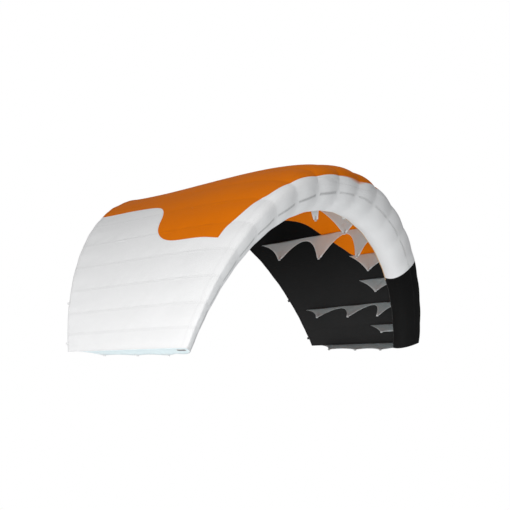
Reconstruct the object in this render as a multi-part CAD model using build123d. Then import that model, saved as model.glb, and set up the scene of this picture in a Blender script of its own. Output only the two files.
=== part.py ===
from build123d import *

import os
from math import atan, cos, radians, sin, sqrt

# Single-skin foil kite in its flying shape.
#
# The canopy is an arch of cells between ribs. Each cell has a top skin, a nose cap, a mesh air
# intake and a short underside panel, which together make a puffed pocket along the leading edge.
# Behind the pocket the kite has one skin only, and the ribs hang free below it as scalloped
# flares, with a webbing loop at each flare's tip for the bridle. Box ribs have no flare: they
# only shape the pocket. The outer cells end in flaps, which are the part of the trailing edge
# that the brake lines pull down.
#
# +X points to the right tip, -Y is the flight direction and +Z is up. Lengths are in
# millimetres and angles in degrees. Sizes called profile sizes are those of the centre rib,
# and every other rib has them in proportion to its chord.

# Arch and planform
CELLS = 18
FLAT_SPAN = 3135.0  # along the nose from tip to tip, laid flat
CENTRE_CHORD = 1150.0
TIP_CHORD = 670.0
CHORD_TAPER = 1.55  # power of the chord's fall towards the tips
SWEEP = 225.0  # how far the tips' noses lie behind the centre's
TIP_TILT = 74.8
TILT_SHAPE = 0.125  # share of the tilt that grows with the cube of the span
CELL_SPREAD = 0.23  # how much wider than the mean the centre cells are
INCIDENCE = 2.15
TIP_WASHOUT = 5.3
RIB_FAN = 0.20  # slope at which the ribs fan out behind the nose

# Profile sizes
PROFILE_RISE = 89.5
TIP_CAMBER = 0.3  # rise of the tip ribs as a share of the centre rib's
CAMBER_FADE = 3.0
RISE_AT = 245.0  # distance of the highest point from the nose
NOSE_POWER = 0.38
TAIL_POWER = 1.5
POCKET_LENGTH = 184.0
POCKET_DEPTH = 130.0
POCKET_FULLNESS = (1.62, 1.35)  # how blunt the nose is underneath, and how far the pocket bellies
TIP_DEEPENING = 0.18  # how much deeper pocket and flares are at the tips, for their size
NOSE_SEAM = 46.0  # joint of nose cap and top skin
INTAKE_FRONT = 12.0
INTAKE_REAR = 16.0
RIB_END = 1050.0
FLAP_HINGE = 1057.0

# Ribs behind the pocket: distances aft and depths below the chord line
FLARE_ROWS = [290.0, 575.0, 875.0]
CENTRE_FLARE_SHIFT = 32.0  # how much farther forward the first flare is at the centre
FLARE_DEPTHS = [170.0, 148.0, 120.0]
SHORT_FLARE_ROW = 295.0
SHORT_FLARE_DEPTH = 124.0
SHORT_RIB_END = 505.0
BOX_END = 204.0
FLARE_FLAT = 29.0
RIB_WEB = 28.0  # least height of a rib over its scallops
SCALLOP_CREST = 0.48  # where a scallop is highest, as a share of the way aft
FRONT_SCALLOP = (222.0, 64.0)  # highest point of the scallop between pocket and first flare
TIP_SCALLOP = 0.18  # height of a tip rib's scallops as a share of the others'

# Cloth, and how far it puffs out between ribs
SKIN = 1.0
RIB_CLOTH = 1.0
SEAM_GAP = 0.3
NOSE_PUFF = 11.0
TIP_NOSE_PUFF = 3.0
SKIN_PUFF = 5.0
UNDERSIDE_PUFF = 2.5
PUFF_FADE = 260.0
UNDERSIDE_FADE = 75.0
FLAP_SIDE_GAP = 3.6

# Webbing loops, battens and tip closures
LOOP_RADIUS = 3.5
WEBBING = 1.0
WEBBING_WIDTH = 10.0
LOOP_TAIL = 18.0
BRAKE_TAIL = 8.0
SEWN_GAP = 0.15
BRAKE_SEWN_GAP = 0.3
BATTEN = 2.4
BATTEN_DEPTH = 1.8
BATTEN_TOP = 150.0
BATTEN_BELOW = 60.0
CLOSURE_FRONT = 34.0
CLOSURE_REAR = 120.0
CLOSURE_TOP = -14.0
CLOSURE_LOW = -62.0

# Which ribs are long or have no flare, and which cells flex or end in a flap
LONG_RIBS = [0, 2, 5, 8, 10, 13, 16, 18]
BOX_RIBS = [7, 9, 11]
END_RIBS = [0, 1, 17, 18]
TIP_CELLS = 5
FLAP_CELLS = 4
BRAKE_LOOP_CELLS = [0, 2]

ARCH_STEPS = 24
CENTRE_RIB = CELLS // 2
RING_RADIUS = LOOP_RADIUS + WEBBING


def span_place(line):
    """Where rib line number line lies, from -1 at the left tip to 1 at the right tip."""
    even = 2.0 * line / CELLS - 1.0
    return even * (1.0 + CELL_SPREAD * (1.0 - even * even))


def tilt(place):
    return radians(TIP_TILT) * ((1.0 - TILT_SHAPE) * place + TILT_SHAPE * place**3)


def arch_point(place):
    """X and Z of the nose line, summed along the arch from its crown."""
    step = place / ARCH_STEPS
    middles = [tilt(step * (n + 0.5)) for n in range(ARCH_STEPS)]
    reach = FLAT_SPAN / 2.0 * step
    return reach * sum(cos(a) for a in middles), -reach * sum(sin(a) for a in middles)


def size_at(line):
    """Chord at a rib line as a share of the centre chord."""
    return 1.0 - (1.0 - TIP_CHORD / CENTRE_CHORD) * abs(span_place(line)) ** CHORD_TAPER


def unplaced_plane(line):
    """Rib plane with local x aft along the chord, y outwards and z to the right."""
    place = span_place(line)
    lean = tilt(place)
    x, z = arch_point(place)
    across = Vector(cos(lean), 0, -sin(lean))
    outward = Vector(sin(lean), 0, cos(lean))
    fan = atan(RIB_FAN * place * (1.0 - place * place))
    aft = Vector(0, 1, 0) * cos(fan) + across * sin(fan)
    pitch = radians(INCIDENCE - TIP_WASHOUT * place * place)
    return Plane(
        origin=Vector(x, SWEEP * place * place, z),
        x_dir=aft * cos(pitch) - outward * sin(pitch),
        z_dir=across * cos(fan) - Vector(0, 1, 0) * sin(fan),
    )


def camber(line):
    """Rise of a rib's profile as a share of the centre rib's."""
    return TIP_CAMBER + (1.0 - TIP_CAMBER) * (1.0 - span_place(line) ** 2) ** CAMBER_FADE


def deepening(line):
    return 1.0 + TIP_DEEPENING * span_place(line) ** 4


def rise(x, line):
    front = (x / RISE_AT) ** NOSE_POWER
    tail = max((CENTRE_CHORD - x) / (CENTRE_CHORD - RISE_AT), 0.0) ** TAIL_POWER
    return PROFILE_RISE * camber(line) * front * tail


def pocket_depth(line):
    return POCKET_DEPTH * deepening(line)


def profile(u, line):
    """Profile point at nose parameter u: u * u is the distance aft, and u < 0 is underneath."""
    if u < 0:
        way = -u / sqrt(POCKET_LENGTH)
        blunt, belly = POCKET_FULLNESS
        fall = way * (blunt + belly * way + (1.0 - blunt - belly) * way * way)
        return u * u, -pocket_depth(line) * fall
    return u * u, rise(u * u, line)


def lifted(u, lift, line):
    """Profile point moved by lift along the outward normal."""
    step = 0.05
    x, y = profile(u, line)
    x0, y0 = profile(u - step, line)
    x1, y1 = profile(u + step, line)
    run, climb = x1 - x0, y1 - y0
    length = sqrt(run * run + climb * climb)
    return x - lift * climb / length, y + lift * run / length


def puff(u, line):
    """How far the cloth of a cell stands off its ribs' profile, in profile size."""
    nose = TIP_NOSE_PUFF + (NOSE_PUFF - TIP_NOSE_PUFF) * (1.0 - span_place(line) ** 2) ** 3
    if u < 0:
        fade = max(1.0 - u * u / UNDERSIDE_FADE, 0.0)
        return UNDERSIDE_PUFF + (nose - UNDERSIDE_PUFF) * fade * fade
    fade = max(1.0 - u * u / PUFF_FADE, 0.0)
    return SKIN_PUFF * (1.0 - u * u / CENTRE_CHORD) + (nose - SKIN_PUFF) * fade * fade


def top(x):
    return sqrt(x)


def under(x):
    return -sqrt(x)


def spread(first, last, count):
    return [first + (last - first) * n / (count - 1) for n in range(count)]


def flares(line):
    """Distance aft and depth of each flare of a rib, in profile size."""
    if line in BOX_RIBS:
        return []
    if line in LONG_RIBS:
        shift = CENTRE_FLARE_SHIFT * (1.0 - span_place(line) ** 2) ** 8
        rows = [FLARE_ROWS[0] - shift] + FLARE_ROWS[1:]
        return [(x, depth * deepening(line)) for x, depth in zip(rows, FLARE_DEPTHS)]
    return [(SHORT_FLARE_ROW, pocket_depth(line) if line in END_RIBS else SHORT_FLARE_DEPTH)]


def loop_points(line):
    """Where a rib's webbing loops meet its edge, in profile size."""
    if line == CENTRE_RIB:
        return [((POCKET_LENGTH + BOX_END) / 2.0, pocket_depth(line))]
    return flares(line)


def loop_centre(line, place):
    """Local centre of the webbing loop at one of the rib's loop points."""
    x, depth = loop_points(line)[place]
    size = size_at(line)
    return x * size, -depth * size - SEAM_GAP - RING_RADIUS


REFERENCE = unplaced_plane(CENTRE_RIB).from_local_coords(
    Vector(*loop_centre(CENTRE_RIB, 0), 0)
)


def rib_plane(line):
    plane = unplaced_plane(line)
    return Plane(origin=plane.origin - REFERENCE, x_dir=plane.x_dir, z_dir=plane.z_dir)


def cell_width(cell):
    return FLAT_SPAN / 2.0 * (span_place(cell + 1) - span_place(cell))


def strip_wire(line, us, bulge):
    """Closed outline of a strip of cloth in the plane at a rib line, bulge times puffed out."""
    size = size_at(line)
    outer = [Vector(*lifted(u, bulge * puff(u, line), line)) * size for u in us]
    inner = [Vector(*lifted(u, bulge * puff(u, line) - SKIN / size, line)) * size for u in us]
    edges = [
        Edge.make_spline(outer),
        Edge.make_line(outer[-1], inner[-1]),
        Edge.make_spline(inner[::-1]),
        Edge.make_line(inner[0], outer[0]),
    ]
    return rib_plane(line).location * Wire(edges)


def strip(cell, first, last, count, side_gap):
    """One cell's strip of cloth between nose parameters first and last."""
    inset = side_gap / cell_width(cell)
    us = spread(first, last, count)
    wires = [
        strip_wire(cell + inset, us, 0.0),
        strip_wire(cell + 0.5, us, 1.0),
        strip_wire(cell + 1.0 - inset, us, 0.0),
    ]
    return Solid.make_loft(wires)


RIB_SIDE = RIB_CLOTH / 2.0 + SEAM_GAP


def top_skin(cell):
    aft = FLAP_HINGE - SEAM_GAP if has_flap(cell) else CENTRE_CHORD
    return strip(cell, top(NOSE_SEAM + SEAM_GAP), top(aft), 9, RIB_SIDE)


def nose_cap(cell):
    return strip(cell, top(NOSE_SEAM), under(INTAKE_FRONT), 10, RIB_SIDE)


def intake_mesh(cell):
    return strip(cell, under(INTAKE_FRONT + SEAM_GAP), under(INTAKE_REAR), 3, RIB_SIDE)


def underside_panel(cell):
    return strip(cell, under(INTAKE_REAR + SEAM_GAP), under(POCKET_LENGTH), 9, RIB_SIDE)


def brake_flap(cell):
    return strip(cell, top(FLAP_HINGE + SKIN), top(CENTRE_CHORD), 3, FLAP_SIDE_GAP)


def has_flap(cell):
    return cell < FLAP_CELLS or cell >= CELLS - FLAP_CELLS


def curve(*points):
    return Edge.make_spline([Vector(*point) for point in points])


def straight(start, end):
    return Edge.make_line(Vector(*start), Vector(*end))


def scallop(line, start, end):
    """Free edge between two flares of a rib, up to its crest under the skin and down again."""
    crest_x = start[0] + (end[0] - start[0]) * SCALLOP_CREST
    low = start[1] + (end[1] - start[1]) * SCALLOP_CREST
    share = TIP_SCALLOP if line in (0, CELLS) else 1.0
    crest = (crest_x, low + (rise(crest_x, line) - RIB_WEB - low) * share)
    return curve(start, crest, end)


def rib_outline(line):
    """Edges of a rib in profile sizes, from its aft end round the nose and back."""
    aft = RIB_END if line in LONG_RIBS else SHORT_RIB_END
    edges = [
        curve(*[profile(u, line) for u in spread(top(aft), 0.0, 14)]),
        curve(*[profile(u, line) for u in spread(0.0, under(POCKET_LENGTH), 12)]),
    ]
    corner = (POCKET_LENGTH, -pocket_depth(line))
    for number, (x, depth) in enumerate(flares(line)):
        front = (x - FLARE_FLAT / 2.0, -depth)
        back = (x + FLARE_FLAT / 2.0, -depth)
        if number > 0:
            edges.append(scallop(line, corner, front))
        elif line in END_RIBS:
            edges.append(straight(corner, front))
        else:
            edges.append(curve(corner, (FRONT_SCALLOP[0], -FRONT_SCALLOP[1]), front))
        edges.append(straight(front, back))
        corner = back
    if line in BOX_RIBS:
        edges.append(straight(corner, (BOX_END, corner[1])))
        corner = (BOX_END, corner[1])
    end = (aft, rise(aft, line))
    sag = (0.45, 0.53)
    if line in LONG_RIBS:
        sag = (0.45, 0.66)
    elif line in BOX_RIBS:
        sag = (0.3, 0.7)
    middle = [corner[k] + (end[k] - corner[k]) * sag[k] for k in (0, 1)]
    edges.append(curve(corner, middle, end))
    return edges


def plate(plane, edges, size, thickness, centre):
    """Flat cloth of the given outline, scaled by size, with its mid plane at local z centre."""
    face = Face(Wire(edges)).scale(size)
    solid = extrude(face, amount=thickness / 2.0, dir=(0, 0, 1), both=True).solid()
    return plane.location * Pos(0, 0, centre) * solid


def rib(line):
    return plate(rib_plane(line), rib_outline(line), size_at(line), RIB_CLOTH, 0.0)


def nose_batten(line, side):
    """Square nylon rod that follows the nose on one side of its rib."""
    size = size_at(line)
    us = spread(top(BATTEN_TOP), under(BATTEN_BELOW), 12)
    outer = [Vector(*lifted(u, -BATTEN_DEPTH / size, line)) * size for u in us]
    inner = [Vector(*lifted(u, -(BATTEN_DEPTH + BATTEN) / size, line)) * size for u in us]
    edges = [
        Edge.make_spline(outer),
        Edge.make_line(outer[-1], inner[-1]),
        Edge.make_spline(inner[::-1]),
        Edge.make_line(inner[0], outer[0]),
    ]
    centre = side * (RIB_CLOTH / 2.0 + SEWN_GAP + BATTEN / 2.0)
    return plate(rib_plane(line), edges, 1.0, BATTEN, centre)


def batten_sides(line):
    """Battens lie on the side towards the kite's middle, and on both sides of the centre rib."""
    if line == CENTRE_RIB:
        return [-1, 1]
    return [1 if line < CENTRE_RIB else -1]


def webbing_loop(plane, cloth, tail, gap):
    """Loop of webbing sewn over an edge: local y points into the cloth, x runs along the edge."""
    hub = plane * Pos(0, -SEAM_GAP - RING_RADIUS, 0) * Rot(0, 90, 0)
    ring = hub * Cylinder(RING_RADIUS, WEBBING_WIDTH) - hub * Cylinder(LOOP_RADIUS, WEBBING_WIDTH * 2)
    root = -SEAM_GAP - WEBBING * 0.8
    height = tail - root
    reach = cloth / 2.0 + gap + WEBBING / 2.0
    leg = Box(WEBBING_WIDTH, height, WEBBING)
    legs = [plane * Pos(0, root + height / 2.0, side * reach) * leg for side in (-1, 1)]
    return (ring + legs[0] + legs[1]).solid()


def bridle_loop(line, place):
    plane = rib_plane(line)
    size = size_at(line)
    x, depth = loop_points(line)[place]
    edge = plane.from_local_coords(Vector(x * size, -depth * size, 0))
    sewn = Plane(origin=edge, x_dir=plane.x_dir, z_dir=plane.z_dir)
    return webbing_loop(sewn, RIB_CLOTH, LOOP_TAIL, SEWN_GAP)


def flap_point(line, x):
    """Point in the middle of a flap's cloth, x aft of the nose in profile size."""
    size = size_at(line)
    u = top(x)
    at = Vector(*lifted(u, puff(u, line) - SKIN / 2.0 / size, line)) * size
    return rib_plane(line).from_local_coords(at)


def brake_loop(cell):
    """Loop on the trailing edge of a flap, at the middle of its cell and square to the edge."""
    middle = cell + 0.5
    edge = flap_point(middle, CENTRE_CHORD)
    along = flap_point(middle + 0.05, CENTRE_CHORD) - flap_point(middle - 0.05, CENTRE_CHORD)
    inward = flap_point(middle, CENTRE_CHORD - BRAKE_TAIL / size_at(middle)) - edge
    sewn = Plane(origin=edge, x_dir=along, z_dir=along.cross(inward))
    return webbing_loop(sewn, SKIN, BRAKE_TAIL, BRAKE_SEWN_GAP)


def tip_closure(line):
    """Hook-and-loop flap over the clean-out opening in the nose of a tip rib."""
    corners = [
        (CLOSURE_FRONT, CLOSURE_TOP),
        (CLOSURE_REAR, CLOSURE_TOP),
        (CLOSURE_REAR, CLOSURE_LOW),
        (CLOSURE_FRONT, CLOSURE_LOW),
    ]
    edges = list(Wire.make_polygon([Vector(*c) for c in corners], close=True).edges())
    side = -1.0 if line == 0 else 1.0
    centre = side * (RIB_SIDE + SKIN / 2.0)
    return plate(rib_plane(line), edges, size_at(line), SKIN, centre)


def flap_hinge(cell):
    """Two points of a flap's hinge line, left and right, on the inner face of the cloth."""
    inset = FLAP_SIDE_GAP / cell_width(cell)
    ends = []
    for line in (cell + inset, cell + 1.0 - inset):
        size = size_at(line)
        x, y = lifted(top(FLAP_HINGE), -SKIN / size, line)
        ends.append(rib_plane(line).from_local_coords(Vector(x * size, y * size, 0)))
    return ends


def flex_hinge(cell):
    """Point on the skin and direction aft of the line that a tip flexes about."""
    line = cell + 0.5
    plane = rib_plane(line)
    size = size_at(line)
    top_point = Vector(RISE_AT * size, rise(RISE_AT, line) * size, 0)
    return plane.from_local_coords(top_point), plane.x_dir


def write(name, solids):
    shape = solids[0] if len(solids) == 1 else Compound(children=solids)
    export_step(shape, os.path.join("parts", name + ".step"))
    print(name, len(solids))


def show(name, *vectors):
    print(name, *[f"{v.X:.4f} {v.Y:.4f} {v.Z:.4f}" for v in vectors])


def write_group(name, cells, lines):
    """Nose pieces, short ribs, battens and bridle loops of one stretch of the arch."""
    write(name + "_nose_caps", [nose_cap(c) for c in cells])
    write(name + "_intake_mesh", [intake_mesh(c) for c in cells])
    write(name + "_underside_panels", [underside_panel(c) for c in cells])
    write(name + "_short_ribs", [rib(n) for n in lines if n not in LONG_RIBS])
    write(name + "_nose_battens", [nose_batten(n, side) for n in lines for side in batten_sides(n)])
    write(name + "_bridle_loops", [bridle_loop(n, k) for n in lines for k in range(len(loop_points(n)))])


def main():
    os.makedirs("parts", exist_ok=True)
    left_flex = TIP_CELLS
    right_flex = CELLS - 1 - TIP_CELLS
    for cell in range(CELLS):
        write(f"top_skin_{cell + 1:02d}", [top_skin(cell)])
    for line in LONG_RIBS:
        write(f"long_rib_{line + 1:02d}", [rib(line)])
    write_group("left", range(0, left_flex), range(0, left_flex + 1))
    write_group("centre", range(left_flex + 1, right_flex), range(left_flex + 1, right_flex + 1))
    write_group("right", range(right_flex + 1, CELLS), range(right_flex + 1, CELLS + 1))
    for side, cell in (("left", left_flex), ("right", right_flex)):
        write(side + "_flex_nose", [nose_cap(cell), intake_mesh(cell), underside_panel(cell)])
        show(side + "_flex", *flex_hinge(cell))
    for side in ("left", "right"):
        for place in range(FLAP_CELLS):
            cell = place if side == "left" else CELLS - 1 - place
            write(f"{side}_flap_{place + 1}", [brake_flap(cell)])
            show(f"{side}_flap_{place + 1}_hinge", *flap_hinge(cell))
            if place in BRAKE_LOOP_CELLS:
                write(f"{side}_brake_loop_{place + 1}", [brake_loop(cell)])
    write("left_tip_closure", [tip_closure(0)])
    write("right_tip_closure", [tip_closure(CELLS)])


main()
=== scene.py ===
from math import atan, cos, pi, radians, sin, sqrt

import bpy
import numpy as np
from mathutils import Matrix, Vector


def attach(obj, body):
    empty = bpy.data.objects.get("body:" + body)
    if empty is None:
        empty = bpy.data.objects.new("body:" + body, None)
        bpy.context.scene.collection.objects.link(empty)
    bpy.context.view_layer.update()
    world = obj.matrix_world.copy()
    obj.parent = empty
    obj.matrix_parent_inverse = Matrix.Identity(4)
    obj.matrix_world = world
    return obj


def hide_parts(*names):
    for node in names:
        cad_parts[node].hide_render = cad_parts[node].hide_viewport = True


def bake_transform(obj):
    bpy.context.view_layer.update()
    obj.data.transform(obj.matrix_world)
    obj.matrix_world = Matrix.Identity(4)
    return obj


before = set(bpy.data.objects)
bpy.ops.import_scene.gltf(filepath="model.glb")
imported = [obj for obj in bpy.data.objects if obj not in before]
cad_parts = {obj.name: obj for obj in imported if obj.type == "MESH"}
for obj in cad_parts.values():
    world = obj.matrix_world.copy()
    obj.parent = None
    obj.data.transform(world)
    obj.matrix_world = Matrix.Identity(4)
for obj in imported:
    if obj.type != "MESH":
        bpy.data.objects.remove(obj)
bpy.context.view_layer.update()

# The kite's own sizes, in millimetres. Profile sizes are those of the centre rib.
CELLS = 18
FLAT_SPAN = 3135.0
CENTRE_CHORD = 1150.0
TIP_CHORD = 670.0
CHORD_TAPER = 1.55
SWEEP = 225.0
TIP_TILT = 74.8
TILT_SHAPE = 0.125
CELL_SPREAD = 0.23
INCIDENCE = 2.15
TIP_WASHOUT = 5.3
RIB_FAN = 0.20
PROFILE_RISE = 89.5
TIP_CAMBER = 0.3
CAMBER_FADE = 3.0
RISE_AT = 245.0
NOSE_POWER = 0.38
TAIL_POWER = 1.5
POCKET_LENGTH = 184.0
POCKET_DEPTH = 130.0
POCKET_FULLNESS = (1.62, 1.35)
TIP_DEEPENING = 0.18
NOSE_SEAM = 46.0
INTAKE_FRONT = 12.0
INTAKE_REAR = 16.0
RIB_END = 1050.0
FLAP_HINGE = 1057.0
FLARE_ROWS = [290.0, 575.0, 875.0]
CENTRE_FLARE_SHIFT = 32.0
FLARE_DEPTHS = [170.0, 148.0, 120.0]
SHORT_FLARE_ROW = 295.0
SHORT_FLARE_DEPTH = 124.0
SHORT_RIB_END = 505.0
BOX_END = 204.0
FLARE_FLAT = 29.0
RIB_WEB = 28.0
SCALLOP_CREST = 0.48
FRONT_SCALLOP = (222.0, 64.0)
TIP_SCALLOP = 0.18
NOSE_PUFF = 11.0
TIP_NOSE_PUFF = 3.0
SKIN_PUFF = 5.0
UNDERSIDE_PUFF = 2.5
PUFF_FADE = 260.0
UNDERSIDE_FADE = 75.0
LOOP_RADIUS = 3.5
LONG_RIBS = [0, 2, 5, 8, 10, 13, 16, 18]
BOX_RIBS = [7, 9, 11]
END_RIBS = [0, 1, 17, 18]
CENTRE_RIB = 9
TIP_CELLS = 5
FLAP_CELLS = 4
CENTRE_LOOP = ((POCKET_LENGTH + BOX_END) / 2.0, POCKET_DEPTH)
ARCH_STEPS = 24
RIGHT_FLEX = CELLS - 1 - TIP_CELLS

# How the cloth lies on that shape, in millimetres.
CLOTH_MIDDLE = -0.5  # the cloth lies inside the profile
HEM_DEPTH, HEM_LIFT = 15.0, 0.7
HEM_SIDE_GAP = 0.009  # share of a cell, so that the hems of two flaps pass each other
TAPE_DEPTH, TAPE_LIFT = 6.0, 0.8
NET_LIFT = -0.4
RIB_INSET = 1.6  # keeps the nose of a rib under the cloth
RIB_THICKNESS = 0.0006  # metres
WEBBING_WIDTH = 10.0
LOOP_EYE = -0.3 - LOOP_RADIUS - 1.0  # middle of a loop's eye, off the edge that it is sewn to
QUIET_SEAM = 10.0  # takes a seam's stitches out of reach where the cloth looks seamless
NO_SLOT = 99.0
FAR = 1e9
CLOSURE_AT = (77.0, -38.0)  # middle of a tip closure, in profile size

rng = np.random.default_rng(7)
PHASE = rng.uniform(0.0, 2.0 * pi, (CELLS + 1, 6))


# ---------------------------------------------------------------- shape of the kite


def span_place(line):
    even = 2.0 * line / CELLS - 1.0
    return even * (1.0 + CELL_SPREAD * (1.0 - even * even))


def tilt(place):
    return radians(TIP_TILT) * ((1.0 - TILT_SHAPE) * place + TILT_SHAPE * place**3)


def arch_point(place):
    step = place / ARCH_STEPS
    lean = tilt(step * (np.arange(ARCH_STEPS) + 0.5))
    reach = FLAT_SPAN / 2.0 * step
    return reach * np.cos(lean).sum(), -reach * np.sin(lean).sum()


def size_at(line):
    return 1.0 - (1.0 - TIP_CHORD / CENTRE_CHORD) * abs(span_place(line)) ** CHORD_TAPER


def rib_axes(line):
    """Origin and local x (aft), y (out) and z (right) of a rib plane, in millimetres, unshifted."""
    place = span_place(line)
    lean = tilt(place)
    x, z = arch_point(place)
    across = np.array([cos(lean), 0.0, -sin(lean)])
    outward = np.array([sin(lean), 0.0, cos(lean)])
    ahead = np.array([0.0, 1.0, 0.0])
    fan = atan(RIB_FAN * place * (1.0 - place * place))
    aft = ahead * cos(fan) + across * sin(fan)
    side = across * cos(fan) - ahead * sin(fan)
    pitch = radians(INCIDENCE - TIP_WASHOUT * place * place)
    x_dir = aft * cos(pitch) - outward * sin(pitch)
    return np.array([x, SWEEP * place * place, z]), x_dir, np.cross(side, x_dir), side


def camber(line):
    """Rise of a rib's profile as a share of the centre rib's."""
    return TIP_CAMBER + (1.0 - TIP_CAMBER) * (1.0 - span_place(line) ** 2) ** CAMBER_FADE


def deepening(line):
    return 1.0 + TIP_DEEPENING * span_place(line) ** 4


def pocket_depth(line):
    return POCKET_DEPTH * deepening(line)


def rise(x, line=CENTRE_RIB):
    x = np.asarray(x, float)
    front = (x / RISE_AT) ** NOSE_POWER
    tail = np.maximum((CENTRE_CHORD - x) / (CENTRE_CHORD - RISE_AT), 0.0) ** TAIL_POWER
    return PROFILE_RISE * camber(line) * front * tail


def profile(u, line=CENTRE_RIB):
    u = np.asarray(u, float)
    way = np.maximum(-u, 0.0) / sqrt(POCKET_LENGTH)
    blunt, belly = POCKET_FULLNESS
    low = -pocket_depth(line) * way * (blunt + belly * way + (1.0 - blunt - belly) * way * way)
    return np.stack([u * u, np.where(u < 0, low, rise(u * u, line))], -1)


def normals(u, line):
    run = profile(u + 0.05, line) - profile(u - 0.05, line)
    run /= np.linalg.norm(run, axis=-1, keepdims=True)
    return np.stack([-run[..., 1], run[..., 0]], -1)


def puff(u, line):
    """How far the cloth of a cell stands off its ribs' profile, in profile size."""
    u = np.asarray(u, float)
    nose = TIP_NOSE_PUFF + (NOSE_PUFF - TIP_NOSE_PUFF) * (1.0 - span_place(line) ** 2) ** 3
    fade = np.maximum(1.0 - u * u / PUFF_FADE, 0.0)
    top = SKIN_PUFF * (1.0 - u * u / CENTRE_CHORD) + (nose - SKIN_PUFF) * fade * fade
    fade = np.maximum(1.0 - u * u / UNDERSIDE_FADE, 0.0)
    return np.where(u < 0, UNDERSIDE_PUFF + (nose - UNDERSIDE_PUFF) * fade * fade, top)


def flares(line):
    """Distance aft and depth of each flare of a rib, in profile size."""
    if line in BOX_RIBS:
        return []
    if line in LONG_RIBS:
        shift = CENTRE_FLARE_SHIFT * (1.0 - span_place(line) ** 2) ** 8
        rows = [FLARE_ROWS[0] - shift] + FLARE_ROWS[1:]
        return [(x, depth * deepening(line)) for x, depth in zip(rows, FLARE_DEPTHS)]
    return [(SHORT_FLARE_ROW, pocket_depth(line) if line in END_RIBS else SHORT_FLARE_DEPTH)]


def loop_points(line):
    """Where a rib's webbing loops meet its edge, in profile size."""
    return [CENTRE_LOOP] if line == CENTRE_RIB else flares(line)


_axes = {}


def axes(line):
    key = round(float(line), 6)
    if key not in _axes:
        _axes[key] = rib_axes(key)
    return _axes[key]


def local_to_frame(line, x, y, z=0.0):
    """Points given in a rib's own axes, in millimetres, to the part's frame in metres."""
    origin, x_dir, y_dir, z_dir = axes(line)
    x, y, z = (np.asarray(a, float)[..., None] for a in np.broadcast_arrays(x, y, z))
    return (origin - REFERENCE + x_dir * x + y_dir * y + z_dir * z) / 1000.0


REFERENCE = np.zeros(3)
REFERENCE = local_to_frame(CENTRE_RIB, CENTRE_LOOP[0], -CENTRE_LOOP[1] + LOOP_EYE) * 1000.0


# Arc length round the profile from the nose, positive on top.
_fine = np.linspace(-14.0, 34.2, 4000)
_steps = np.linalg.norm(np.diff(profile(_fine), axis=0), axis=1)
_arc = np.concatenate([[0.0], np.cumsum(_steps)])
_arc -= np.interp(0.0, _fine, _arc)


def arc(u):
    return np.interp(u, _fine, _arc)


def ease(x):
    x = np.clip(x, 0.0, 1.0)
    return x * x * (3.0 - 2.0 * x)


def cell_width(cell):
    return FLAT_SPAN / 2.0 * (span_place(cell + 1) - span_place(cell))


# Folds in the cloth, in millimetres: their pitch, height and reach from a seam.
PLEAT_PITCH, PLEAT_REACH, TOP_PLEAT, UNDER_PLEAT = 27.0, 17.0, 1.5, 0.5
LONG_PLEAT_PITCH, LONG_PLEAT_REACH, LONG_PLEAT = 118.0, 34.0, 1.1
PULL_WIDTH, PULL_REACH, PULL_DEPTH = 46.0, 30.0, 2.4
FLUTTER = 2.2


def creases(line, u):
    """Small folds that the seams and the load points pull into the cloth, in millimetres."""
    cell = min(int(line + 1e-6), CELLS - 1)
    w = line - cell
    width = cell_width(cell)
    u = np.asarray(u, float)
    x, v = u * u, arc(u)
    total = np.zeros_like(u)
    for side, rib in ((w, cell), (1.0 - w, cell + 1)):
        d = max(side, 0.0) * width
        near = 1.0 - np.exp(-d / 5.0)
        p = PHASE[rib]
        pleat = np.sin(2 * pi * v / PLEAT_PITCH + p[0] + 0.8 * np.sin(v / 19.0 + p[1]))
        nose = ease((v + 215.0) / 40.0) * ease((190.0 - v) / 90.0)
        total += np.where(u < 0, UNDER_PLEAT, TOP_PLEAT) * np.exp(-d / PLEAT_REACH) * near * pleat * nose
        long_pleat = np.sin(2 * pi * (x + d * 0.8) / LONG_PLEAT_PITCH + p[2] + 1.3 * np.sin(x / 160.0 + p[3]))
        back = ease((x - 120.0) / 160.0) * ease((1130.0 - x) / 60.0)
        total += LONG_PLEAT * np.exp(-d / LONG_PLEAT_REACH) * near * long_pleat * back
        for row, _ in flares(rib):
            pull = np.exp(-(((x - row) / PULL_WIDTH) ** 2)) * (u > 0)
            total -= PULL_DEPTH * pull * np.exp(-d / PULL_REACH) * near
    flutter = np.sin(2 * pi * w + PHASE[cell, 4]) * sin(pi * w)
    total += FLUTTER * flutter * ease((x - 900.0) / 250.0) * (u > 0)
    return total


def skin(line, u, lift=0.0, extra=1.0):
    """Points of the puffed cloth at a rib line or between two, lift millimetres off its middle."""
    cell = min(int(line + 1e-6), CELLS - 1)
    w = min(max(line - cell, 0.0), 1.0)
    crest = (1.0 - span_place(line) ** 2) ** 3 * ease((15.0 - np.asarray(u, float)) / 4.0)
    bulge = (4.0 * w * (1.0 - w)) ** np.where(np.asarray(u) < 0, 1.8, 1.5 - 0.5 * crest)
    size = size_at(line)
    off = puff(u, line) * bulge * size + CLOTH_MIDDLE + lift + extra * creases(line, u) * size
    at = profile(u, line) * size + normals(u, line) * off[..., None]
    return local_to_frame(line, at[..., 0], at[..., 1])


# ---------------------------------------------------------------- coloured panels


def flat_place(line, x):
    """Flat cloth coordinates in millimetres of a rib line and a distance aft in profile size."""
    return FLAT_SPAN / 2.0 * span_place(line), x * size_at(line)


def outline(points):
    """Closed smooth outline through points; a point given twice stays a sharp corner."""
    q = [flat_place(line, s * CENTRE_CHORD) for line, s in points]
    for _ in range(2):
        cut = []
        for a, b in zip(q, q[1:] + q[:1]):
            a, b = np.array(a), np.array(b)
            cut += [a * 0.75 + b * 0.25, a * 0.25 + b * 0.75]
        q = [tuple(c) for c in cut]
    return np.array(q)


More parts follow.
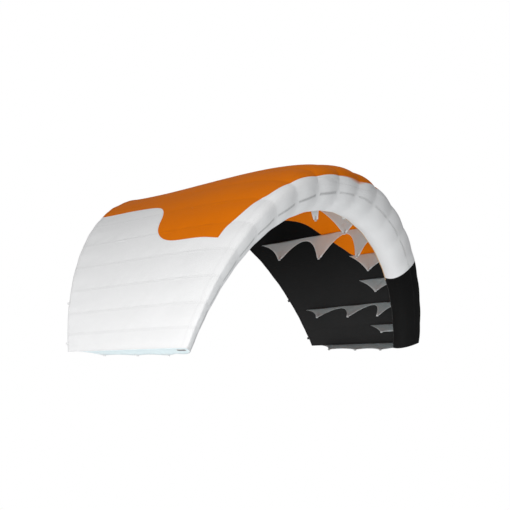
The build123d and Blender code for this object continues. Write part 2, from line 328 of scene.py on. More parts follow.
def inside_distance(poly, points):
    """Distance to a closed outline in millimetres, positive inside."""
    a, b = poly, np.roll(poly, -1, axis=0)
    keep = np.linalg.norm(b - a, axis=1) > 1e-6
    a, b = a[keep], b[keep]
    best = np.full(len(points), FAR)
    inside = np.zeros(len(points), bool)
    for p, q in zip(a, b):
        d = q - p
        t = np.clip(((points - p) @ d) / (d @ d), 0.0, 1.0)
        best = np.minimum(best, np.linalg.norm(points - p - t[:, None] * d, axis=1))
        over = (p[1] > points[:, 1]) != (q[1] > points[:, 1])
        height = q[1] - p[1] if abs(q[1] - p[1]) > 1e-12 else 1e-12
        inside ^= over & (points[:, 0] < (q[0] - p[0]) * (points[:, 1] - p[1]) / height + p[0])
    return np.where(inside, best, -best)


# Borders of the colours, each point a rib line and a share of the chord.
NEAR_EDGE = [
    (6.6, 1.10), (6.6, 0.983), (6.63, 0.905), (6.62, 0.82), (6.5, 0.689), (6.29, 0.628), (5.8, 0.588),
    (5.34, 0.575), (5.03, 0.554), (4.71, 0.502), (4.54, 0.431), (4.53, 0.323), (4.52, 0.241),
    (4.41, 0.134), (4.41, 0.134),
]
NOSE_EDGE = [
    (4.9, 0.13), (5.3, 0.095), (6.02, 0.069), (6.19, 0.044), (7.01, 0.024), (7.84, 0.005), (8.65, 0.002),
    (9.52, 0.0), (10.34, 0.0), (10.9, 0.005), (11.8, 0.024), (12.4, 0.069), (13.0, 0.095), (13.5, 0.124),
]
BLACK_FROM = 14.4  # rib line where the black nose starts
FAR_EDGE = [
    (BLACK_FROM, 0.1), (BLACK_FROM, 0.236), (14.3, 0.32), (14.07, 0.39), (13.97, 0.417), (13.75, 0.447),
    (13.41, 0.49), (13.09, 0.523), (12.78, 0.548), (12.41, 0.581), (12.19, 0.635), (12.13, 0.67),
    (12.0, 0.77), (11.7, 0.85), (11.55, 0.92), (11.5, 1.10),
]
BLACK_NOSE = [(BLACK_FROM, -0.30)] * 2 + [(BLACK_FROM, 0.05)] * 2
BLACK_END = [(19.5, 1.10)] * 2 + [(19.5, -0.30)] * 2
ORANGE = outline(NEAR_EDGE + NOSE_EDGE + FAR_EDGE)
BLACK = outline(BLACK_NOSE + FAR_EDGE + BLACK_END)


# ---------------------------------------------------------------- meshes


def mesh_object(name, verts, faces, floats=None, uv=None):
    """Smooth mesh with named values at its points and the flat coordinates of its cloth."""
    mesh = bpy.data.meshes.new(name)
    mesh.from_pydata([tuple(map(float, v)) for v in verts], [], faces)
    for key, values in (floats or {}).items():
        layer = mesh.attributes.new(key, "FLOAT", "POINT")
        layer.data.foreach_set("value", np.asarray(values, np.float32))
    if uv is not None:
        loops = np.zeros(len(mesh.loops), np.int32)
        mesh.loops.foreach_get("vertex_index", loops)
        layer = mesh.uv_layers.new(name="cloth")
        layer.data.foreach_set("uv", np.asarray(uv, np.float32)[loops].ravel())
    mesh.polygons.foreach_set("use_smooth", [True] * len(mesh.polygons))
    mesh.validate()
    obj = bpy.data.objects.new(name, mesh)
    bpy.context.scene.collection.objects.link(obj)
    return obj


def quads(rows, n, wrap=False):
    """Faces of a grid of points in rows of n; wrap joins the two ends of each row."""
    faces = []
    for i in range(rows - 1):
        for j in range(n if wrap else n - 1):
            a, b = i * n + j, i * n + (j + 1) % n
            faces.append((a, a + n, b + n, b))
    return faces


# Where the points of a cell lie across it, and its air intake, as shares of its width.
COLUMNS = [0, 0.02, 0.05, 0.1, 0.16, 0.23, 0.31, 0.4, 0.5, 0.6, 0.69, 0.77, 0.84, 0.9, 0.95, 0.98, 1.0]
SLOT_LEFT, SLOT_RIGHT = 0.1, 0.9
SLOT_FRONT_U, SLOT_REAR_U = -sqrt(INTAKE_FRONT), -sqrt(INTAKE_REAR)


def cell_lines(cells):
    lines = []
    for cell in cells:
        lines += [cell + w for w in COLUMNS if w < 1.0]
    return lines + [cells[-1] + 1.0]


def cloth_grid(name, cells, us, hole=False):
    """Continuous sheet of canopy cloth over the cells, with the fields that its material reads."""
    lines = cell_lines(cells)
    verts, uv = [], []
    floats = {key: [] for key in ("seam", "edge", "slot")}
    places = []
    for line in lines:
        verts.append(skin(line, us))
        size = size_at(line)
        cell = min(int(line + 1e-6), CELLS - 1)
        w = line - cell
        flat_x = FLAT_SPAN / 2.0 * span_place(line)
        uv.append(np.stack([np.full(len(us), flat_x), arc(us) * size], -1) / 1000.0)
        places.append(np.stack([np.full(len(us), flat_x), np.sign(us) * us * us * size], -1))
        quiet = np.where((us < 0) & (cell >= CELLS / 2), QUIET_SEAM, 0.0)
        floats["seam"].append(min(w, 1.0 - w) * cell_width(cell) + quiet)
        to_tail, to_nose = (abs(arc(us) - arc(sqrt(x))) for x in (CENTRE_CHORD, NOSE_SEAM))
        to_edge = np.minimum(to_tail, to_nose)
        floats["edge"].append(to_edge * size)
        across = (max(SLOT_LEFT - w, w - SLOT_RIGHT)) * cell_width(cell)
        ahead = np.maximum(arc(us) - arc(SLOT_FRONT_U), arc(SLOT_REAR_U) - arc(us)) * size
        floats["slot"].append(np.maximum(across, ahead) + (NO_SLOT if cell >= CELLS / 2 else 0.0))
    n = len(us)
    faces = []
    for i in range(len(lines) - 1):
        w0 = lines[i] - int(lines[i] + 1e-6)
        for j in range(n - 1):
            if hole:
                middle = 0.5 * (us[j] + us[j + 1])
                if SLOT_LEFT - 1e-6 <= w0 < SLOT_RIGHT - 1e-6 and SLOT_REAR_U < middle < SLOT_FRONT_U:
                    continue
            a = i * n + j
            faces.append((a, a + n, a + n + 1, a + 1))
    places = np.concatenate(places)
    data = {key: np.concatenate(value) for key, value in floats.items()}
    data["orange"] = inside_distance(ORANGE, places)
    data["black"] = inside_distance(BLACK, places)
    uv = np.concatenate(uv)
    obj = mesh_object(name, np.concatenate(verts), faces, data, uv)
    grid = uv.reshape(len(lines), n, 2)
    wide = (grid[1:, :-1, 0] - grid[:-1, :-1, 0]) * abs(grid[:-1, 1:, 1] - grid[:-1, :-1, 1])
    obj["flat"] = [float(np.ptp(uv[:, 0])), float(np.ptp(uv[:, 1])), float(wide.sum())]
    return obj


def declare(obj):
    """Takes the stored flat size off a canopy sheet and works out its flat area, which nothing uses."""
    width, length, area = obj["flat"]
    del obj["flat"]
    area = min(area, width * length)


# ---------------------------------------------------------------- materials


class Nodes:
    """Short way to build a material's nodes."""

    def __init__(self, name):
        self.material = bpy.data.materials.new(name)
        self.material.use_nodes = True
        self.tree = self.material.node_tree
        self.tree.nodes.clear()
        self.out = self.tree.nodes.new("ShaderNodeOutputMaterial")
        self.shader = self.tree.nodes.new("ShaderNodeBsdfPrincipled")
        self.tree.links.new(self.shader.outputs[0], self.out.inputs["Surface"])

    def link(self, value, socket):
        if isinstance(value, bpy.types.NodeSocket):
            self.tree.links.new(value, socket)
        else:
            socket.default_value = value

    def math(self, kind, a, b=None, c=None):
        node = self.tree.nodes.new("ShaderNodeMath")
        node.operation = kind
        for i, value in enumerate((a, b, c)):
            if value is not None:
                self.link(value, node.inputs[i])
        return node.outputs[0]

    def span(self, value, low, high, out_low=0.0, out_high=1.0):
        node = self.tree.nodes.new("ShaderNodeMapRange")
        node.interpolation_type = "SMOOTHSTEP"
        self.link(value, node.inputs["Value"])
        node.inputs["From Min"].default_value = low
        node.inputs["From Max"].default_value = high
        node.inputs["To Min"].default_value = out_low
        node.inputs["To Max"].default_value = out_high
        return node.outputs["Result"]

    def attribute(self, name):
        node = self.tree.nodes.new("ShaderNodeAttribute")
        node.attribute_name = name
        return node.outputs["Fac"]

    def cloth(self):
        """The cloth's own flat coordinates, in metres."""
        node = self.tree.nodes.new("ShaderNodeUVMap")
        node.uv_map = "cloth"
        split = self.tree.nodes.new("ShaderNodeSeparateXYZ")
        self.tree.links.new(node.outputs[0], split.inputs[0])
        return node.outputs[0], split.outputs[0], split.outputs[1]

    def place(self):
        return self.tree.nodes.new("ShaderNodeTexCoord").outputs["Object"]

    def noise(self, vector, scale, detail=3.0):
        node = self.tree.nodes.new("ShaderNodeTexNoise")
        self.link(vector, node.inputs["Vector"])
        node.inputs["Scale"].default_value = scale
        node.inputs["Detail"].default_value = detail
        node.inputs["Roughness"].default_value = 0.55
        return node.outputs["Fac"]

    def mix(self, factor, a, b, blend="MIX"):
        node = self.tree.nodes.new("ShaderNodeMix")
        node.data_type = "RGBA"
        node.blend_type = blend
        self.link(factor, node.inputs[0])
        for value, socket in ((a, node.inputs[6]), (b, node.inputs[7])):
            self.link(value if isinstance(value, bpy.types.NodeSocket) else (*value, 1.0), socket)
        return node.outputs[2]

    def stripes(self, value, pitch, share):
        """1 on a line of the given share of each pitch, else 0."""
        part = self.math("FRACT", self.math("DIVIDE", value, pitch))
        return self.math("LESS_THAN", part, share)

    def wave(self, value, pitch):
        """Round bumps between 0 and 1 that repeat at pitch."""
        turn = self.math("MULTIPLY", value, 2.0 * pi / pitch)
        return self.math("MULTIPLY_ADD", self.math("SINE", turn), 0.5, 0.5)

    def bump(self, height, distance, strength=1.0, after=None):
        node = self.tree.nodes.new("ShaderNodeBump")
        node.inputs["Strength"].default_value = strength
        node.inputs["Distance"].default_value = distance
        self.link(height, node.inputs["Height"])
        if after is not None:
            self.tree.links.new(after, node.inputs["Normal"])
        return node.outputs[0]

    def finish(self, color, rough, normal, **uniform):
        self.link(color, self.shader.inputs["Base Color"])
        self.link(rough, self.shader.inputs["Roughness"])
        if normal is not None:
            self.tree.links.new(normal, self.shader.inputs["Normal"])
        for key, value in uniform.items():
            self.shader.inputs[key.replace("_", " ")].default_value = value
        return self.material


# Threads of the cloth, in metres, and how far a stitch reaches either side of its row, in millimetres.
THREAD_PITCH, GRID_PITCH, GRID_SHARE = 0.0009, 0.0055, 0.13
STITCH_PITCH, STITCH_SHARE, STITCH_HALF = 0.0036, 0.66, 0.55
TAPE_RIB = 0.0011


def grey(tone):
    return (tone, tone, tone)


def ripstop(n, u, v):
    """(height of the woven cloth, mask of its thicker grid threads)"""
    warp = n.math("MULTIPLY", n.wave(u, THREAD_PITCH), n.wave(v, THREAD_PITCH))
    grid = n.math("MAXIMUM", n.stripes(u, GRID_PITCH, GRID_SHARE), n.stripes(v, GRID_PITCH, GRID_SHARE))
    return n.math("MULTIPLY_ADD", warp, 0.35, grid), grid


def stitch_row(n, distance, along, at, pitch=STITCH_PITCH):
    """A row of stitches at a distance in millimetres from an edge."""
    on_row = n.math("LESS_THAN", n.math("ABSOLUTE", n.math("SUBTRACT", distance, at)), STITCH_HALF)
    return n.math("MULTIPLY", on_row, n.stripes(along, pitch, STITCH_SHARE))


def canopy_material():
    """Ripstop cloth that takes its colour from the panel borders, with lapped and stitched seams, painted
    shade on its black panels and painted shade along its seam folds.
    """
    n = Nodes("canopy_ripstop")
    vector, u, v = n.cloth()
    height, _ = ripstop(n, u, v)
    cloud = n.noise(vector, 5.0, 4.0)
    fine = n.noise(vector, 70.0, 3.0)
    orange, black = n.attribute("orange"), n.attribute("black")
    seam, edge, slot = n.attribute("seam"), n.attribute("edge"), n.attribute("slot")
    white_tone = n.mix(cloud, grey(0.80), grey(0.86))
    orange_tone = n.mix(cloud, (0.70, 0.160, 0.0006), (0.78, 0.185, 0.001))
    # The black panels carry painted shade: near-black towards the crest, paler towards the right tip where
    # more light falls.
    painted_shade_black = n.mix(cloud, grey(0.0004), grey(0.0010))
    painted_lit_black = n.mix(cloud, grey(0.024), grey(0.031))
    black_with_painted_shade = n.mix(n.span(u, 0.62, 1.62), painted_shade_black, painted_lit_black)
    # Painted shade on the black nose and underside: the black is darkened to 0.4 of itself ahead of 12 cm
    # along the top.
    painted_nose_shade_black = n.mix(1.0, black_with_painted_shade, grey(0.4), "MULTIPLY")
    black_with_painted_shade = n.mix(n.span(v, 0.0, 0.12), painted_nose_shade_black, black_with_painted_shade)
    color = n.mix(n.span(black, -0.4, 0.4), white_tone, black_with_painted_shade)
    color = n.mix(n.span(orange, -0.4, 0.4), color, orange_tone)
    join = n.math("MINIMUM", n.math("ABSOLUTE", orange), n.math("ABSOLUTE", black))
    lap = n.math("MAXIMUM", n.span(seam, 9.0, 7.5), n.span(join, 7.0, 6.0))
    lap = n.math("MAXIMUM", lap, n.span(edge, 8.0, 7.0))
    color = n.mix(n.math("MULTIPLY", lap, 0.012), color, grey(0.0))
    # Painted shade along each seam's fold: a thin darker line at the seam and at each colour border.
    painted_crease_shade = n.math("MAXIMUM", n.span(seam, 2.0, 0.6), n.span(join, 1.2, 0.3))
    color = n.mix(n.math("MULTIPLY", painted_crease_shade, 0.025), color, grey(0.0))
    thread = n.math("MAXIMUM", stitch_row(n, seam, v, 3.2), stitch_row(n, seam, v, 6.4))
    thread = n.math("MAXIMUM", thread, stitch_row(n, join, n.math("ADD", u, v), 3.0))
    thread = n.math("MAXIMUM", thread, stitch_row(n, edge, u, 4.0))
    thread_tone = n.mix(0.1, n.mix(1.0, color, grey(0.8), "MULTIPLY"), grey(0.03))
    color = n.mix(n.math("MULTIPLY", thread, 0.25), color, thread_tone)
    binding = n.math("MULTIPLY", n.span(slot, 4.4, 3.8), n.span(slot, -0.6, 0.0))
    color = n.mix(n.math("MULTIPLY", binding, 0.10), color, grey(0.0))
    soft = n.math("MULTIPLY_ADD", fine, 0.25, n.math("MULTIPLY", n.noise(vector, 18.0, 4.0), 0.75))
    normal = n.bump(soft, 0.004, 0.35)
    normal = n.bump(n.math("ADD", lap, n.math("MULTIPLY", binding, 1.5)), 0.0006, 0.5, normal)
    normal = n.bump(thread, 0.0004, 0.5, normal)
    normal = n.bump(height, 0.00018, 0.6, normal)
    rough = n.math("MULTIPLY_ADD", cloud, 0.12, 0.5)
    return n.finish(color, rough, normal, Specular_IOR_Level=0.05)


def rib_material(name, tone):
    """Rib cloth of a grey tone with a painted cool cast, with patches at its flares and a stitched hem."""
    n = Nodes(name)
    vector, u, v = n.cloth()
    height, grid = ripstop(n, u, v)
    cloud = n.noise(vector, 9.0, 4.0)
    rim, patch = n.attribute("rim"), n.attribute("patch")
    # The rib tone is set above the ribs' grey and given a cool cast. This is painted light that makes up for
    # the shade and the orange bounce light under the canopy.
    color = n.mix(cloud, (tone * 0.83, tone * 0.96, tone * 0.99), (tone * 0.89, tone * 1.03, tone * 1.06))
    color = n.mix(n.math("MULTIPLY", grid, 0.15), color, grey(tone * 1.15))
    gusset = n.span(patch, 1.0, 0.985)
    color = n.mix(n.math("MULTIPLY", gusset, 0.35), color, grey(tone * 0.86))
    hem = n.span(rim, 8.0, 7.4)
    color = n.mix(n.math("MULTIPLY", hem, 0.3), color, grey(tone * 1.1))
    along = n.math("ADD", u, v)
    thread = n.math("MAXIMUM", stitch_row(n, rim, along, 3.0), stitch_row(n, rim, along, 6.2))
    ring = n.math("LESS_THAN", n.math("ABSOLUTE", n.math("SUBTRACT", patch, 0.93)), 0.012)
    ring = n.math("MULTIPLY", ring, n.stripes(n.math("SUBTRACT", u, v), 0.004, 0.6))
    thread = n.math("MAXIMUM", thread, ring)
    color = n.mix(n.math("MULTIPLY", thread, 0.7), color, grey(tone * 1.25))
    normal = n.bump(n.noise(vector, 24.0, 4.0), 0.003, 0.5)
    normal = n.bump(n.math("ADD", hem, gusset), 0.0006, 0.9, normal)
    normal = n.bump(n.math("ADD", n.math("MULTIPLY", height, 0.4), thread), 0.0003, 0.6, normal)
    rough = n.math("MULTIPLY_ADD", cloud, 0.15, 0.5)
    return n.finish(color, rough, normal, Specular_IOR_Level=0.2)


def net_material(name, hollow, thread):
    n = Nodes(name)
    vector, u, v = n.cloth()
    one_way, other_way = (n.stripes(n.math(kind, u, v), 0.0022, 0.36) for kind in ("ADD", "SUBTRACT"))
    knots = n.math("MAXIMUM", one_way, other_way)
    # hollow is the colour in the net's holes; on the near-half net it is painted shade of the pocket's
    # inside.
    color = n.mix(knots, hollow, thread)
    color = n.mix(n.math("MULTIPLY", n.noise(vector, 40.0), 0.3), color, hollow)
    return n.finish(color, 0.85, n.bump(knots, 0.0006, 0.8), Specular_IOR_Level=0.2)


def tape_material(name, low, high):
    n = Nodes(name)
    vector, u, v = n.cloth()
    weave = n.math("MULTIPLY", n.wave(u, TAPE_RIB), n.wave(v, TAPE_RIB * 1.6))
    cloud = n.noise(vector, 60.0)
    color = n.mix(cloud, low, high)
    rim = n.attribute("rim")
    thread = stitch_row(n, rim, n.math("ADD", u, v), 1.7, 0.0032)
    color = n.mix(n.math("MULTIPLY", thread, 0.6), color, n.mix(0.5, color, (0.75, 0.75, 0.74)))
    normal = n.bump(weave, 0.0003, 0.7)
    normal = n.bump(thread, 0.0004, 0.7, normal)
    return n.finish(color, 0.68, normal, Specular_IOR_Level=0.2)


def nylon_material():
    n = Nodes("nylon_rod")
    place = n.place()
    cloud = n.noise(place, 90.0)
    color = n.mix(cloud, (0.50, 0.50, 0.47), (0.60, 0.60, 0.57))
    normal = n.bump(n.noise(place, 900.0), 0.0002, 0.4)
    return n.finish(color, n.math("MULTIPLY_ADD", cloud, 0.15, 0.32), normal)


def floor_material():
    n = Nodes("studio_floor")
    place = n.place()
    color = n.mix(n.noise(place, 0.6, 2.0), grey(0.88), grey(0.90))
    return n.finish(color, 0.9, None)


CANOPY = canopy_material()
RIB = rib_material("rib_ripstop", 0.71)
WHITE_RIB = rib_material("white_rib_ripstop", 0.82)
# The near half's net has painted shade of the pocket's inside in its holes, grey 0.55; the far half's pale
# net lacks it.
SHADED_NET = net_material("intake_net", grey(0.55), grey(0.80))
PALE_NET = net_material("pale_intake_net", grey(0.80), grey(0.86))
BLACK_NET = net_material("black_intake_net", grey(0.003), grey(0.012))
WEBBING = tape_material("webbing", (0.50, 0.51, 0.51), (0.58, 0.59, 0.59))
WHITE_WEBBING = tape_material("white_webbing", grey(0.76), grey(0.84))
BLACK_WEBBING = tape_material("black_webbing", grey(0.012), grey(0.022))
EDGE_TAPE = tape_material("edge_tape", (0.62, 0.38, 0.17), (0.70, 0.45, 0.22))
CLOSURE = tape_material("closure_tape", (0.20, 0.20, 0.205), (0.27, 0.27, 0.275))
CLOSURE_RIM = tape_material("closure_rim", (0.80, 0.80, 0.79), (0.86, 0.86, 0.85))
NYLON = nylon_material()


def paint(obj, material):
    obj.data.materials.clear()
    obj.data.materials.append(material)
    return obj


# ---------------------------------------------------------------- which body carries what


def side_of(cell):
    return "left" if cell < CELLS / 2 else "right"


def from_tip(cell):
    return cell if cell < CELLS / 2 else CELLS - 1 - cell


def flex_ends(cell, us):
    """Two points between which a flex cell turns from the centre to the tip."""
    inner, outer = (cell + 1, cell) if cell < CELLS / 2 else (cell, cell + 1)
    inner_p, outer_p = skin(inner, us), skin(outer, us)
    way = axes(cell + 0.5)[3] * (-1.0 if cell < CELLS / 2 else 1.0)
    base = inner_p.mean(axis=0)
    start = ((inner_p - base) @ way).max()
    end = ((outer_p - base) @ way).min()
    return base + way * start, base + way * end


def flap_ends(cell):
    """Two points either side of a flap's hinge line, between which the skin curls."""
    u = sqrt(FLAP_HINGE)
    size = size_at(cell + 0.5)
    hinge = skin(cell + 0.5, np.array([u]), 0.0, 0.0)[0]
    line = skin(cell + 1.0, np.array([u]))[0] - skin(float(cell), np.array([u]))[0]
    _, x_dir, y_dir, _ = axes(cell + 0.5)
    way = np.cross(line, y_dir)
    way *= np.sign(way @ x_dir) / np.linalg.norm(way)
    reach = 0.036 * size
    return hinge - way * reach, hinge + way * reach


WHOLE = np.concatenate([np.linspace(-sqrt(POCKET_LENGTH), 0.0, 20), np.linspace(1.0, sqrt(CENTRE_CHORD), 30)])


def carry(obj, cell, flap=None):
    """Gives a piece of one cell, or of a stretch of cells with one body, to the body that moves it; the piece
    of a flex cell and the skin of a flap are only baked in place.
    """
    side = side_of(cell)
    if cell in (TIP_CELLS, RIGHT_FLEX):
        start, end = flex_ends(cell, WHOLE)
        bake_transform(obj)
    elif from_tip(cell) > TIP_CELLS:
        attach(obj, "centre")
    elif flap == "skin" and from_tip(cell) < FLAP_CELLS:
        start, end = flap_ends(cell)
        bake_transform(obj)
    elif flap == "edge" and from_tip(cell) < FLAP_CELLS:
        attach(obj, f"{side}_flap_{from_tip(cell) + 1}")
    else:
        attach(obj, side + "_tip")
    return obj


def stretches(flaps):
    """Runs of cells that one piece of cloth covers; the outer cells are apart where they end in flaps."""
    tip = [[c] for c in range(FLAP_CELLS)] + [[4]] if flaps else [list(range(TIP_CELLS))]
    right = [[CELLS - 1 - c for c in reversed(run)] for run in reversed(tip)]
    return tip + [[TIP_CELLS], list(range(TIP_CELLS + 1, RIGHT_FLEX)), [RIGHT_FLEX]] + right


def cell_name(run):
    first, last = run[0] + 1, run[-1] + 1
    return f"{first:02d}" if first == last else f"{first:02d}_{last:02d}"


# ---------------------------------------------------------------- canopy


def build_canopy():
    steep = 190.0  # the rows of points lie closer ahead of this distance aft
    near = np.linspace(sqrt(NOSE_SEAM), sqrt(steep), 16)
    aft = np.sqrt(np.linspace(steep, CENTRE_CHORD, 62))[1:]
    top_us = np.concatenate([near, aft])
    hem_us = np.sqrt(np.linspace(CENTRE_CHORD - HEM_DEPTH, CENTRE_CHORD, 4))
    for run in stretches(True):
        obj = cloth_grid("canopy_" + cell_name(run), run, top_us)
        paint(obj, CANOPY)
        hem = build_hem(run, hem_us)
        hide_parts(*[f"top_skin_{c + 1:02d}" for c in run])
        if from_tip(run[0]) < FLAP_CELLS:
            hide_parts(f"{side_of(run[0])}_flap_{from_tip(run[0]) + 1}")
        carry(obj, run[0], "skin")
        declare(obj)


def build_hem(run, us):
    """Trailing edge folded over twice, a strip above and a strip below that meet at the edge."""
    lines = cell_lines(run)
    if from_tip(run[0]) < FLAP_CELLS:
        lines = [lines[0] + HEM_SIDE_GAP, *lines[1:-1], lines[-1] - HEM_SIDE_GAP]
    over = [skin(line, us, HEM_LIFT) for line in lines]
    under = [skin(line, us[::-1], -HEM_LIFT) for line in lines]
    verts = np.concatenate([np.concatenate([a, b]) for a, b in zip(over, under)])
    n = 2 * len(us)
    size = np.repeat([size_at(line) for line in lines], n)
    flat_x = np.repeat([FLAT_SPAN / 2.0 * span_place(line) for line in lines], n)
    us_all = np.tile(np.concatenate([us, us[::-1]]), len(lines))
    places = np.stack([flat_x, us_all**2 * size], -1)
    widths = [min(line % 1, 1 - line % 1) * cell_width(min(int(line), CELLS - 1)) for line in lines]
    to_edge = (arc(sqrt(CENTRE_CHORD)) - arc(us_all)) * size
    data = {
        "orange": inside_distance(ORANGE, places),
        "black": inside_distance(BLACK, places),
        "seam": np.repeat(widths, n),
        "edge": abs(to_edge - 8.0),
        "slot": np.full(len(verts), NO_SLOT),
    }
    uv = np.stack([flat_x, arc(us_all) * size], -1) / 1000.0
    hem = mesh_object("edge_hem_" + cell_name(run), verts, quads(len(lines), n), data, uv)
    paint(hem, CANOPY)
    return carry(hem, run[0], "edge")


def build_nose():
    """Nose caps and underside panels in one sheet, open at the air intakes."""
    front = np.linspace(sqrt(NOSE_SEAM), 0.0, 15)
    under = np.linspace(0.0, SLOT_FRONT_U, 8)[1:]
    slot = np.linspace(SLOT_FRONT_U, SLOT_REAR_U, 4)[1:]
    rear = np.linspace(SLOT_REAR_U, -sqrt(POCKET_LENGTH), 20)[1:]
    us = np.concatenate([front, under, slot, rear])
    for run in stretches(False):
        obj = cloth_grid("nose_" + cell_name(run), run, us[::-1], hole=True)
        paint(obj, CANOPY)
        tape = build_pocket_tape(run)
        net = build_net(run)
        if run[0] in (TIP_CELLS, RIGHT_FLEX):
            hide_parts(side_of(run[0]) + "_flex_nose")
        else:
            part = side_of(run[0]) if len(run) == TIP_CELLS else "centre"
            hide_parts(part + "_nose_caps", part + "_underside_panels")
            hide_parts(part + "_intake_mesh")
        carry(obj, run[0])
        declare(obj)


def build_net(run):
    """Net in each air intake slot: grey with painted shade of the pocket's inside in its holes on the near
    half, paler without that painted shade on the far half, and black in the black nose.
    """
    us = np.linspace(SLOT_FRONT_U + 0.15, SLOT_REAR_U - 0.15, 5)[::-1]
    verts, faces, uv, owners = [], [], [], []
    for cell in run:
        ws = [w for w in COLUMNS if SLOT_LEFT - 0.06 < w < SLOT_RIGHT + 0.06]
        for i, w in enumerate(ws):
            base = len(verts)
            verts += list(skin(cell + w, us, NET_LIFT))
            x = FLAT_SPAN / 2.0 * span_place(cell + w)
            uv += [(x / 1000.0, a * size_at(cell + w) / 1000.0) for a in arc(us)]
            if i:
                n = len(us)
                faces += [(base - n + j, base + j, base + j + 1, base - n + j + 1) for j in range(n - 1)]
                owners += [cell + w] * (n - 1)
    obj = mesh_object("intake_net_" + cell_name(run), verts, faces, None, uv)
    paint(obj, SHADED_NET)
    obj.data.materials.append(BLACK_NET)
    obj.data.materials.append(PALE_NET)
    for polygon, line in zip(obj.data.polygons, owners):
        # Near half: net with painted shade in its holes; far half: pale net; black nose: black net.
        polygon.material_index = 1 if line > BLACK_FROM else 2 if line > CELLS / 2 else 0
    return carry(obj, run[0])


def build_pocket_tape(run):
    """Thin bound edge at the rear of the underside panels."""
    front_u = -sqrt(POCKET_LENGTH - TAPE_DEPTH)
    us = np.linspace(front_u, -sqrt(POCKET_LENGTH + 1.0), 4)[::-1]
    lines = cell_lines(run)
    verts, uv, rim = [], [], []
    n = 2 * len(us)
    for line in lines:
        verts += list(skin(line, us, TAPE_LIFT)) + list(skin(line, us[::-1], -TAPE_LIFT))
        both = np.concatenate([arc(us), arc(us[::-1])])
        uv += [(FLAT_SPAN / 2000.0 * span_place(line), a / 1000.0) for a in both]
        rim += list(abs(both - arc(front_u)))
    faces = quads(len(lines), n, wrap=True)
    obj = mesh_object("pocket_tape_" + cell_name(run), verts, faces, {"rim": rim}, uv)
    paint(obj, EDGE_TAPE)
    obj.data.materials.append(BLACK_WEBBING)
    for polygon in obj.data.polygons:
        polygon.material_index = 1 if lines[polygon.index // n] > BLACK_FROM else 0
    return carry(obj, run[0])


# ---------------------------------------------------------------- ribs


def parabola(a, b, c):
    """Smooth curve through three points, spaced as a thread through them would be."""
    a, b, c = (np.array(p, float) for p in (a, b, c))
    first, second = np.linalg.norm(b - a), np.linalg.norm(c - b)
    m = first / (first + second)
    t = np.linspace(0.0, 1.0, 26)[:, None]
    return a * (t - m) * (t - 1) / m + b * t * (t - 1) / (m * (m - 1)) + c * t * (t - m) / (1 - m)


def rib_low_edge(line):
    """Free edge of a rib from the nose round the pocket and its flares to its aft end."""
    aft = RIB_END if line in LONG_RIBS else SHORT_RIB_END
    us = np.linspace(0.0, -sqrt(POCKET_LENGTH), 22)
    inset = RIB_INSET / size_at(line) * ease((POCKET_LENGTH - us**2) / 12.0)
    chain = [profile(us, line) - normals(us, line) * inset[:, None]]
    corner = (POCKET_LENGTH, -pocket_depth(line))
    for number, (row, depth) in enumerate(flares(line)):
        front, back = (row - FLARE_FLAT / 2, -depth), (row + FLARE_FLAT / 2, -depth)
        if number == 0 and line in END_RIBS:
            chain.append(np.linspace(corner, front, 8)[1:])
        elif number == 0:
            chain.append(parabola(corner, (FRONT_SCALLOP[0], -FRONT_SCALLOP[1]), front)[1:])
        else:
            crest_x = corner[0] + (front[0] - corner[0]) * SCALLOP_CREST
            low = corner[1] + (front[1] - corner[1]) * SCALLOP_CREST
            share = TIP_SCALLOP if line in (0, CELLS) else 1.0
            crest = (crest_x, low + (float(rise(crest_x, line)) - RIB_WEB - low) * share)
            chain.append(parabola(corner, crest, front)[1:])
        chain.append(np.linspace(front, back, 6)[1:])
        corner = back
    if line in BOX_RIBS:
        chain.append(np.linspace(corner, (BOX_END, corner[1]), 12)[1:])
        corner = (BOX_END, corner[1])
    end = (aft, float(rise(aft, line)))
    place = (0.45, 0.66) if line in LONG_RIBS else (0.3, 0.7) if line in BOX_RIBS else (0.45, 0.53)
    sag = [corner[k] + (end[k] - corner[k]) * place[k] for k in (0, 1)]
    chain.append(parabola(corner, sag, end)[1:])
    return np.concatenate(chain)


def rib_grid(line, low):
    """Rows of points across a rib, from its free edge up to the underside of the top skin."""
    size = size_at(line)
    x = np.minimum(low[:, 0], low[-1, 0])
    top = rise(np.maximum(x - 1.4 / size, 0.0), line) - 1.2 / size * ease(x / 8.0)
    high = np.stack([x, np.maximum(top, low[:, 1])], -1)
    rows = np.linspace(0.0, 1.0, 12) ** 0.8
    return low[:, None, :] * (1 - rows[None, :, None]) + high[:, None, :] * rows[None, :, None]


def rib_gathers(line, flat, rim):
    """Small folds that fan out from each flare, off the rib's plane in millimetres."""
    gather = np.zeros(len(flat))
    for k, (row, depth) in enumerate(flares(line)):
        away = flat - np.array([row, -depth])
        wave = 0.9 * np.sin(9.0 * np.arctan2(away[:, 0], away[:, 1]) + PHASE[line, k])
        reach = np.hypot(away[:, 0], away[:, 1])
        gather += wave * np.exp(-(((reach - 90.0) / 70.0) ** 2)) * ease(rim / 12.0)
    return gather * ease((rise(flat[:, 0], line) - flat[:, 1]) / 30.0)


